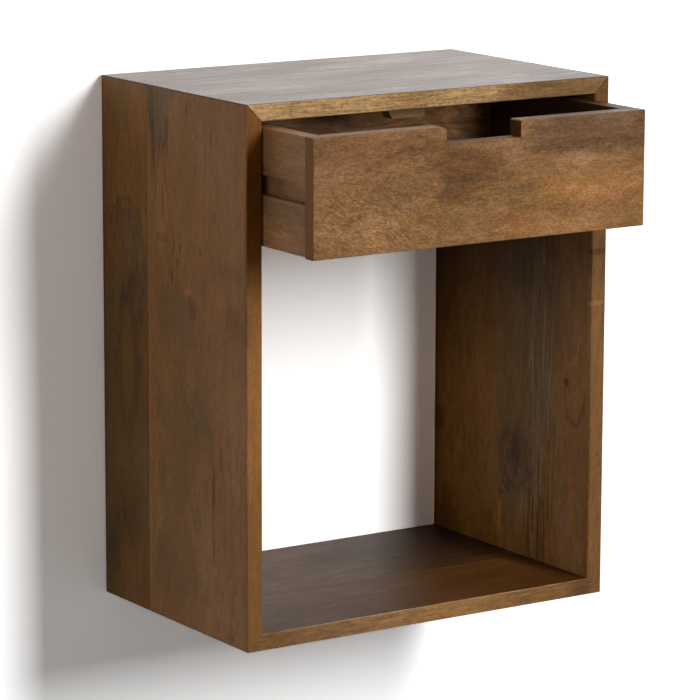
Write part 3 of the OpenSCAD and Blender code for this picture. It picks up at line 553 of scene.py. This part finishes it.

# one look for each board: its tone in even light, the axes that run along, across and through it,
# the pith's place across and through it, which way its sanded edge faces, and its figure together
# with some painted light and shade; a mark has its centre (along, across), half its length and half
# its width in mm, and multiplies the stain's red, green and blue; it can be an outline, dashes or
# wavy lines, be narrower at its far end (taper), and push the rings aside by some mm (swirl)
boardLooks = {
    "left_front_board": {
        "tone": "b67d47", "edgeTone": "8f6030", "axes": "ZYX", "seed": 1.3, "pith": (-150, -120),
        "edge": ("Y", -1), "mitre": 0.9, "cool": (120.0, 34.0, 0.2), "cloud": (110.0, 46.0, 0.26),
        "mottle": (24.0, 9.0, 0.12), "fibre": (38.0, 1.1, 0.05), "pore": (15.0, 1.2, 0.28),
        "marks": (
            # the grey wedge that runs down from the top, with its dark rims, and the pale spear
            {"at": (48, -109), "half": (60, 14.5), "taper": -1.8, "by": (0.64, 0.74, 0.90),
             "weight": 0.95, "rough": 0.3, "soft": 0.10},
            {"at": (34, -114), "half": (26, 16), "by": (1.4, 1.32, 1.2), "dash": (40, 2.4),
             "rough": 0.3},
            {"at": (30, -94), "half": (34, 5), "by": (0.62, 0.62, 0.66), "rough": 0.5},
            {"at": (48, -109), "half": (62, 15), "taper": -1.8, "by": (0.45, 0.42, 0.42), "weight": 0.9,
             "rough": 0.3, "outline": (0.16, 0), "dash": (9, 3.0)},
            {"at": (-3, -97), "half": (26, 3.4), "by": (0.50, 0.48, 0.50), "weight": 0.95,
             "rough": 0.25},
            {"at": (3, -121), "half": (19, 3.0), "by": (0.52, 0.50, 0.52), "weight": 0.9,
             "rough": 0.25},
            {"at": (-50, -111), "half": (50, 17), "taper": 0.82, "by": (1.20, 1.20, 1.22),
             "weight": 0.9, "rough": 0.12, "soft": 0.08},
            {"at": (-50, -111), "half": (52, 18), "taper": 0.82, "by": (0.52, 0.46, 0.42),
             "weight": 0.85, "rough": 0.12, "outline": (0.22, 1.0)},
            {"at": (-57, -114), "half": (17, 1.7), "by": (0.45, 0.4, 0.4), "weight": 0.85,
             "rough": 0.5},
            {"at": (-91, -113), "half": (5, 12), "by": (0.66, 0.62, 0.56)},
            {"at": (-104, -133), "half": (27, 15), "by": (0.42, 0.40, 0.36), "weight": 1.0,
             "dash": (15, 2.2)},
            {"at": (-108, -126), "half": (26, 20), "by": (1.2, 1.18, 1.1), "weight": 0.7,
             "dash": (12, 2.4)},
            # olive patch with a knot at its side
            {"at": (-160, -136), "half": (34, 32), "by": (0.66, 0.79, 0.83), "weight": 0.9,
             "rough": 1.1, "soft": 0.3},
            {"at": (-148, -164), "half": (11, 10), "by": (0.60, 0.50, 0.54), "weight": 0.9, "swirl": 10,
             "rough": 1.8, "soft": 0.6, "dash": (7, 4)},
            {"at": (-149, -167), "half": (9, 7), "by": (0.60, 0.50, 0.56), "rough": 1.0, "soft": 0.6},
            {"at": (-154, -136), "half": (1.2, 20), "by": (1.35, 1.35, 1.3), "weight": 0.6,
             "rough": 0.3},
            {"at": (-106, -238), "half": (7, 24), "by": (0.76, 0.72, 0.68), "rough": 1.2, "soft": 0.7},
            {"at": (-150, -240), "half": (13, 18), "by": (0.70, 0.65, 0.62), "rough": 1.2, "soft": 0.6},
            {"at": (-132, -211), "half": (15, 9), "by": (1.22, 1.2, 1.15), "rough": 0.9},
            {"at": (-135, -158), "half": (3, 8), "by": (1.3, 1.12, 0.8)},
            {"at": (-290, -142), "half": (75, 36), "by": (0.74, 0.82, 0.76), "weight": 0.9,
             "rough": 1.4, "soft": 0.2},
            {"at": (-230, -170), "half": (60, 60), "by": (0.70, 0.72, 0.68), "weight": 0.7,
             "dash": (8, 2.6), "rough": 1.0},
            {"at": (-240, -172), "half": (26, 18), "by": (0.74, 0.82, 0.84), "rough": 1.4,
             "soft": 0.25},
            # long dark streak low on the board
            {"at": (-312, -202), "half": (20, 3.0), "by": (0.42, 0.37, 0.34), "weight": 0.95,
             "rough": 0.4},
            {"at": (-318, -195), "half": (30, 3.0), "by": (1.2, 1.16, 1.1), "rough": 0.4},
            {"at": (-338, -201), "half": (46, 1.5), "by": (0.7, 0.66, 0.62), "weight": 0.85,
             "rough": 0.3},
            {"at": (-366, -202), "half": (15, 2.4), "by": (0.55, 0.5, 0.45), "weight": 0.85,
             "rough": 0.5},
            {"at": (-320, -218), "half": (12, 8), "by": (0.72, 0.74, 0.76), "rough": 1.2},
            {"at": (-375, -132), "half": (24, 30), "by": (1.4, 1.35, 1.3), "weight": 0.7,
             "outline": (0.12, 0.5), "dash": (5, 6)},
            {"at": (-400, -136), "half": (34, 38), "by": (0.72, 0.82, 0.84), "weight": 0.85,
             "rough": 1.1, "soft": 0.3},
            {"at": (-415, -212), "half": (40, 38), "by": (0.74, 0.68, 0.64), "weight": 0.75,
             "dash": (17, 8), "rough": 1.0},
            {"at": (-405, -205), "half": (44, 34), "by": (1.16, 1.15, 1.14), "dash": (22, 9),
             "rough": 1.0},
            {"at": (-292, -226), "half": (40, 26), "by": (0.72, 0.65, 0.60), "dash": (15, 7),
             "rough": 1.0},
            {"at": (-286, -222), "half": (50, 34), "by": (1.18, 1.16, 1.14), "dash": (20, 8),
             "rough": 1.0},
            {"at": (-310, -96), "half": (130, 9), "by": (1.28, 1.32, 1.38), "weight": 0.7,
             "dash": (14, 3.4), "rough": 0.6},
            {"at": (-445, -233), "half": (2.4, 2.4), "by": (0.3, 0.25, 0.25), "weight": 0.85},
            # painted shade on the upper part of the front edge, where the drawer's shadow falls, a lighter
            # lower part, a painted shaded line on the side just behind the arris, and a painted highlight
            # on the arris near the top
            {"at": (-38, -262), "half": (92, 5), "by": (0.63, 0.50, 0.24), "weight": 0.9, "rough": 0.3},
            {"at": (-235, -262), "half": (85, 5), "by": (1.36, 1.38, 1.42), "weight": 0.9, "soft": 0.5,
             "rough": 0.3},
            {"at": (-200, -257.4), "half": (400, 1.3), "by": (0.66, 0.60, 0.55), "rough": 0.05},
            {"at": (12, -259.0), "half": (34, 0.9), "by": (1.7, 1.45, 1.2), "rough": 0.05},
            # short nicks
            {"at": (-22, -172), "half": (6, 1.5), "by": (0.55, 0.5, 0.46), "weight": 0.85},
            {"at": (-96, -180), "half": (3, 2.2), "by": (0.5, 0.45, 0.42), "weight": 0.85},
            {"at": (-60, -205), "half": (7, 1.4), "by": (0.6, 0.55, 0.5), "weight": 0.85},
            {"at": (-176, -194), "half": (9, 1.5), "by": (0.6, 0.55, 0.5)},
            {"at": (10, -199), "half": (8, 1.8), "by": (0.5, 0.45, 0.42), "weight": 0.85},
            {"at": (32, -156), "half": (7, 1.6), "by": (0.5, 0.45, 0.42), "weight": 0.85},
            {"at": (10, -174), "half": (5, 1.5), "by": (0.6, 0.55, 0.5)},
            {"at": (-8, -190), "half": (5, 1.5), "by": (0.6, 0.55, 0.5)},
            # the pale line beside the joint, and painted shade along the arrises at the top and the bottom
            {"at": (-240, -89), "half": (230, 2.0), "by": (1.18, 1.19, 1.2), "rough": 0.3},
            {"at": (48, -150), "half": (1.5, 160), "by": (0.4, 0.38, 0.4), "weight": 0.9, "rough": 0.05,
             "soft": 0.2},
            {"at": (-452, -150), "half": (2, 160), "by": (0.5, 0.48, 0.5), "weight": 0.9, "rough": 0.05,
             "soft": 0.2},
        ),
    },
    "left_rear_board": {
        "tone": "9e6d35", "axes": "ZYX", "seed": 4.1, "pith": (-38, -150),
        "marks": (
            {"at": (0, -42), "half": (70, 70), "by": (1.30, 1.22, 1.15), "weight": 0.9, "soft": 0.35},
            {"at": (-96, -46), "half": (33, 28), "by": (0.48, 0.44, 0.44), "weight": 0.6,
             "outline": (0.11, 1.2), "rough": 0.22},
            {"at": (-124, -50), "half": (50, 32), "by": (0.76, 0.76, 0.79), "weight": 0.9},
            {"at": (-340, -40), "half": (190, 70), "by": (0.72, 0.70, 0.68), "weight": 0.9,
             "soft": 0.5},
            {"at": (-112, -25), "half": (26, 12), "by": (1.35, 1.2, 1.0)},
            {"at": (-156, -62), "half": (36, 26), "by": (0.72, 0.74, 0.84), "rough": 0.9},
            {"at": (-220, -47), "half": (42, 9), "by": (1.32, 1.32, 1.15), "weight": 0.9,
             "rough": 0.25},
            {"at": (-215, -47), "half": (64, 19), "by": (0.70, 0.67, 0.70), "weight": 0.7,
             "outline": (0.45, 0), "rough": 0.9},
            {"at": (-60, -46), "half": (110, 40), "by": (0.66, 0.60, 0.52), "weight": 0.7,
             "dash": (16, 2.2)},
            {"at": (-420, -44), "half": (34, 12), "by": (1.35, 1.2, 1.0), "weight": 0.7, "rough": 1.0},
            {"at": (-370, -39), "half": (16, 11), "by": (0.55, 0.5, 0.52), "weight": 0.9, "swirl": 14,
             "rough": 1.6, "soft": 0.6, "dash": (8, 4)},
            {"at": (-368, -39), "half": (5, 3), "by": (0.5, 0.45, 0.5), "weight": 0.9, "rough": 1.5},
            {"at": (-402, -20), "half": (20, 15), "by": (0.80, 0.80, 0.84)},
            {"at": (-400, -62), "half": (26, 9), "by": (1.25, 1.25, 1.1), "weight": 0.7},
            {"at": (-200, -85), "half": (400, 1.5), "by": (0.6, 0.58, 0.6), "rough": 0.1},
            # painted shade: a dark strip along the back beside the wall, and a dark line along the top
            # arris
            {"at": (-200, 0), "half": (400, 5.0), "by": (0.34, 0.32, 0.34), "weight": 0.9,
             "rough": 0.1},
            {"at": (48, -40), "half": (1.5, 160), "by": (0.4, 0.38, 0.4), "weight": 0.9, "rough": 0.05,
             "soft": 0.2},
        ),
    },
    "top_front_board": {
        **topWood, "edgeTone": "d0a774", "edge": ("Y", -1), "edgePattern": (24.0, 1.5, 0.32),
        "mitre": 0.9, "pore": (15.0, 1.2, 0.28),
        "marks": (
            {"at": (150, -262), "half": (100, 9), "by": (0.37, 0.33, 0.29), "weight": 0.9, "soft": 0.7,
             "rough": 1.0},
            {"at": (-30, -262), "half": (30, 8), "by": (0.68, 0.64, 0.6), "soft": 0.6, "rough": 1.0},
            {"at": (-150, -250), "half": (24, 12), "by": (0.45, 0.42, 0.4), "dash": (8, 1.6)},
            {"at": (-150, -170), "half": (50, 40), "by": (0.45, 0.44, 0.45), "weight": 0.9,
             "dash": (40, 3), "turn": 12, "rough": 1.0},
            {"at": (-20, -260), "half": (190, 6), "by": (0.62, 0.52, 0.42), "dash": (7, 1.3),
             "turn": 14},
        ),
    },
    "top_rear_board": {
        **topWood,
        "marks": (
            {"at": (150, -30), "half": (60, 24), "by": (1.4, 1.3, 1.1), "weight": 0.6},
            {"at": (-165, -95), "half": (26, 60), "by": (0.40, 0.40, 0.42), "weight": 0.9,
             "dash": (30, 4), "turn": 60},
            {"at": (-60, -80), "half": (140, 40), "by": (0.55, 0.53, 0.52), "dash": (60, 3),
             "rough": 1.0},
        ),
    },
    "bottom_front_board": {
        "tone": "774b20", "edgeTone": "9e7346", "axes": "XYZ", "seed": 11.2, "pith": (-190, -380),
        "edge": ("Y", -1), "edgePattern": (16.0, 2.2, 0.24), "mitre": 0.9, "gloss": 0.16,
        # its pale worn arrises are partly a painted highlight along the front arris
        "wearAndHighlight": 0.7, "wornAndHighlightTone": "e4c096", "cool": (120.0, 34.0, 0.3),
        "marks": (
            {"at": (120, -153), "half": (80, 2.6), "by": (1.5, 1.3, 1.05), "weight": 0.6},
            {"at": (-130, -200), "half": (150, 80), "by": (0.75, 0.83, 1.02), "weight": 0.9,
             "soft": 0.5, "rough": 0.4},
            # light dashes along the grain: painted sheen streaks
            {"at": (-90, -200), "half": (120, 60), "by": (1.4, 1.4, 1.4), "weight": 0.9,
             "dash": (20, 2.8)},
            # painted shade: a dark strip along the right end, in the corner beside the right side
            {"at": (178, -180), "half": (16, 120), "by": (0.45, 0.42, 0.4), "weight": 0.9, "soft": 0.6,
             "rough": 0.3},
            {"at": (-10, -262), "half": (80, 9), "by": (1.3, 1.3, 1.3), "soft": 0.6},
            {"at": (-190, -262), "half": (40, 9), "by": (0.80, 0.72, 0.62), "soft": 0.6},
            {"at": (160, -262), "half": (60, 9), "by": (0.82, 0.80, 0.76), "soft": 0.6},
        ),
    },
    "bottom_rear_board": {
        "tone": "6a482a", "axes": "XYZ", "seed": 12.6, "pith": (-70, -400), "gloss": 0.16,
        "marks": (
            # painted shade: the right back corner under the drawer is darkened
            {"at": (150, -50), "half": (120, 90), "by": (0.34, 0.30, 0.27), "weight": 0.95, "soft": 0.6,
             "rough": 0.6},
            # light dashes along the grain: painted sheen streaks
            {"at": (-90, -100), "half": (120, 60), "by": (1.45, 1.42, 1.4), "weight": 0.9,
             "dash": (20, 2.8)},
        ),
    },
    "right_front_board": {
        **rightWood, "edgeTone": "835a2d", "edge": ("Y", -1), "mitre": 0.9,
        "marks": rightFigureAndShade + (
            {"at": (-258, -235), "half": (31, 16), "by": (0.52, 0.44, 0.42), "weight": 0.85,
             "outline": (0.12, -1.0), "rough": 0.35},
            {"at": (-251, -222), "half": (5, 3.4), "by": (0.35, 0.28, 0.28), "weight": 0.9,
             "swirl": 10},
            {"at": (-206, -228), "half": (24, 13), "by": (1.5, 1.5, 1.55), "outline": (0.12, -1.0),
             "rough": 0.35},
            {"at": (-118, -261), "half": (3, 8), "by": (0.6, 0.55, 0.5)},
            # painted light: the front edge is lightened over this stretch
            {"at": (-140, -262), "half": (75, 6), "by": (1.35, 1.4, 1.5), "soft": 0.5},
            {"at": (-168, -261), "half": (2.4, 8), "by": (1.5, 1.4, 1.3), "weight": 0.7},
        ),
    },
    "right_rear_board": {
        **rightWood,
        "marks": rightFigureAndShade + (
            {"at": (-243, -58), "half": (10, 2), "by": (0.45, 0.42, 0.4)},
            {"at": (-320, -6), "half": (12, 14), "by": (0.5, 0.48, 0.45)},
            {"at": (-378, -116), "half": (3, 7), "by": (0.5, 0.48, 0.45)},
            {"at": (-405, -114), "half": (16, 4), "by": (1.5, 1.45, 1.3), "weight": 0.7},
            {"at": (-430, -28), "half": (36, 24), "by": (0.6, 0.55, 0.5)},
            # painted shade: a dark strip along the back beside the wall
            {"at": (-200, 0), "half": (400, 5), "by": (0.55, 0.5, 0.5), "weight": 0.9, "rough": 0.1},
        ),
    },
    "drawer_front": {
        "tone": "966c44", "edgeTone": "ae7a32", "axes": "XZY", "seed": 21.9, "pith": (-120, -200),
        "edge": ("X", -1), "cloud": (75.0, 24.0, 0.50), "mottle": (16.0, 5.5, 0.32),
        "coolBy": (0.86, 0.96, 0.84), "fibre": (14.0, 1.1, 0.12), "pore": (7.0, 1.2, 0.30),
        "fleck": (3.6, 1.8, 0.16), "wander": (230.0, 60.0, 12.0), "sway": (240.0, 90.0, 26.0),
        "marks": (
            {"at": (118, 14), "half": (78, 20), "by": (0.60, 0.62, 0.74), "weight": 0.9, "rough": 0.7,
             "soft": 0.3},
            {"at": (-14, -14), "half": (42, 26), "by": (0.60, 0.54, 0.53), "weight": 0.85,
             "rough": 1.0},
            {"at": (122, -32), "half": (62, 17), "by": (1.35, 1.28, 1.15), "weight": 0.85,
             "rough": 1.0},
            {"at": (-98, -32), "half": (28, 16), "by": (0.86, 0.92, 1.1), "rough": 1.0},
            {"at": (-130, 8), "half": (70, 22), "by": (0.98, 0.92, 0.94), "rough": 1.0},
            {"at": (-130, -56), "half": (64, 34), "by": (0.66, 0.56, 0.46), "weight": 0.75,
             "dash": (8, 1.2), "turn": 33},
            {"at": (-130, -50), "half": (70, 36), "by": (1.42, 1.34, 1.05), "dash": (9, 1.3),
             "turn": 38},
            {"at": (-60, 6), "half": (60, 16), "by": (0.66, 0.56, 0.50), "weight": 0.6,
             "dash": (9, 1.6)},
            {"at": (100, 0), "half": (70, 9), "by": (0.6, 0.52, 0.48), "weight": 0.7,
             "dash": (11, 1.6)},
            {"at": (110, -64), "half": (90, 24), "by": (1.22, 1.10, 0.98), "rough": 1.0},
            {"at": (-40, -50), "half": (150, 50), "by": (1.40, 1.32, 1.00), "weight": 0.65,
             "dash": (5.0, 1.8)},
            {"at": (-60, -30), "half": (130, 60), "by": (0.72, 0.64, 0.56), "weight": 0.5,
             "dash": (8.5, 1.5)},
            # a light line along the top arris: painted highlight
            {"at": (0, 27), "half": (300, 1.6), "by": (1.25, 1.25, 1.25), "rough": 0.1},
            # the end face of the finger notch
            {"at": (40.5, 20), "half": (0.3, 16), "by": (0.55, 0.55, 0.62), "weight": 0.9, "soft": 0.2,
             "rough": 0.0},
        ),
    },
    "drawer_left_side": {
        "tone": "c58e5d", "axes": "YZX", "seed": 25.3, "pith": (-60, -230),
        "pore": (9.0, 1.2, 0.5), "mottle": (20.0, 7.0, 0.3),
        "marks": (
            # the lighter wood inside the groove, and the paler lower edge
            {"at": (-230, -27.5), "half": (400, 10), "by": (1.3, 1.3, 1.35), "weight": 0.9, "soft": 0.1,
             "rough": 0.0},
            {"at": (-270, -72), "half": (60, 16), "by": (1.12, 1.10, 1.08)},
        ),
    },
    "drawer_right_side": {
        # its tone is darker than the other drawer boards' as painted shade: its inner face lies in shade
        "tone": "60402a", "axes": "YZX", "seed": 27.1, "pith": (-20, 260),
    },
    "drawer_back": {
        "tone": "bc885a", "axes": "XZY", "seed": 29.6, "pith": (-60, -160),
        "ring": (8.0, 0.3, 0.25), "wander": (230.0, 60.0, 60.0),
        "marks": (
            {"at": (120, 5), "half": (60, 24), "by": (1.8, 1.7, 1.5), "weight": 0.7, "dash": (22, 6),
             "turn": 24},
            # painted shade: the upper left of the back is darkened where the top's shade falls inside the
            # drawer
            {"at": (-130, 0), "half": (100, 20), "by": (0.32, 0.30, 0.28), "soft": 0.8, "rough": 0.6},
        ),
    },
}


easing = {
    "caseBoard": 0.22,                # mm taken off each corner
    "drawerBoard": 0.35,
    "plainPart": 0.5,
    "segments": 2,
    "cornerAngle": 40,                # degrees: only corners sharper than this are eased
    "smoothAngle": 35,
    "flatAngle": 0.5,                 # faces that meet at less than this become one
    "joinWithin": 0.000005,           # metres
    "flatFace": 0.999,                # a face that looks this squarely along an axis stays flat
}


def easedBoard(node, body, material, easedMm):
    # a copy of the solid board whose sharp corners are eased a little, as with sandpaper
    board = bpy.data.objects.new(node + "_wood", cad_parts[node].data.copy())
    bpy.context.scene.collection.objects.link(board)
    board.data.materials.clear()
    board.data.materials.append(material)
    selectOnly(board)
    bpy.ops.object.mode_set(mode="EDIT")
    bpy.ops.mesh.select_all(action="SELECT")
    bpy.ops.mesh.remove_doubles(threshold=easing["joinWithin"])
    bpy.ops.mesh.dissolve_limited(angle_limit=math.radians(easing["flatAngle"]))
    bpy.ops.object.mode_set(mode="OBJECT")
    bevel = board.modifiers.new("easing", "BEVEL")
    bevel.width = easedMm / 1000
    bevel.segments = easing["segments"]
    bevel.limit_method = "ANGLE"
    bevel.angle_limit = math.radians(easing["cornerAngle"])
    bevel.use_clamp_overlap = False
    bpy.ops.object.modifier_apply(modifier="easing")
    bpy.ops.object.shade_smooth_by_angle(angle=math.radians(easing["smoothAngle"]))
    for face in board.data.polygons:
        # only the eased corners are rounded
        face.use_smooth = max(abs(part) for part in face.normal) < easing["flatFace"]
    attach(board, body)
    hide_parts(node)


for node, look in boardLooks.items():
    body = "drawer" if node.startswith("drawer") else "case"
    easedBoard(node, body, stainedMango("stainedMango_" + node, look),
               easing[body + "Board"])
print("stage: stained boards dressed")


# the rail's tone is darker than the runners' as painted shade: it hangs in deep shade behind the drawer
railLook = {
    "tone": "5a3e26", "axes": "XZY", "seed": 33.0, "pith": (0, -90),
    "roughness": 0.5,
}
runnerLook = {
    "tone": "7c5733", "axes": "YZX", "seed": 36.0, "pith": (-25, -260),
    "roughness": 0.34, "wearAndHighlight": 0.7,
}
paleLook = {
    "tone": "a47c54", "axes": "XZY", "seed": 41.0, "pith": (0, -160), "spread": (0.75, 1.25),
    "roughness": 0.6, "wornAndHighlightTone": "dcc49c", "ring": (5.0, 0.12, 0.14),
    "cool": (120.0, 34.0, 0.0), "pore": (2.5, 0.5, 0.18),
}
plyLook = {"tone": "8e6841", "axes": "XYZ", "seed": 44.0, "pith": (-200, -500)}
zincLook = {
    "grit": 2200.0,                   # marks of the turning tool in a metre
    "darker": "b4b6b6",
    "lighter": "d0d1cf",
    "roughness": (0.26, 0.42),
}


def zincSteel(name, look):
    # zinc-plated screw steel: a cool grey metal, lightly marked by the turning tool
    material, tree = newMaterial(name)
    here = addNode(tree, "TexCoord", out=3)
    marks = addNode(tree, "TexNoise", {"Scale": look["grit"], "Detail": 2.0}, {"Vector": here})
    tone = addNode(tree, "ValToRGB", {"stops": ((0.3, look["darker"]), (0.7, look["lighter"]))},
                   {0: marks})
    smoothest, roughest = look["roughness"]
    rough = addNode(tree, "MapRange", {3: smoothest, 4: roughest}, {0: marks})
    surface = addNode(tree, "BsdfPrincipled", {"Metallic": 1.0}, {"Base Color": tone, "Roughness": rough})
    addNode(tree, "OutputMaterial", links={"Surface": surface})
    return material


rail = stainedMango("stainedMango_rail", railLook)
runner = stainedMango("stainedMango_runner", runnerLook)
pale = stainedMango("bareBeech", paleLook)
ply = stainedMango("veneeredPly", plyLook)
steel = zincSteel("zincPlatedSteel", zincLook)
easedBoard("hanging_rail", "case", rail, easing["plainPart"])
easedBoard("left_runner", "case", runner, easing["plainPart"])
easedBoard("right_runner", "case", runner, easing["plainPart"])
easedBoard("stop_block", "case", pale, easing["plainPart"])
for node, material in {
    "top_left_spline": pale, "top_right_spline": pale, "bottom_left_spline": pale,
    "bottom_right_spline": pale, "rail_dowels": pale, "drawer_front_dowels": pale,
    "drawer_back_dowels": pale, "drawer_bottom": ply, "runner_screws": steel,
    "stop_block_screw": steel, "drawer_bottom_screws": steel,
}.items():
    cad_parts[node].data.materials.clear()
    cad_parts[node].data.materials.append(material)
print("stage: rail, runners, block and fastenings dressed")
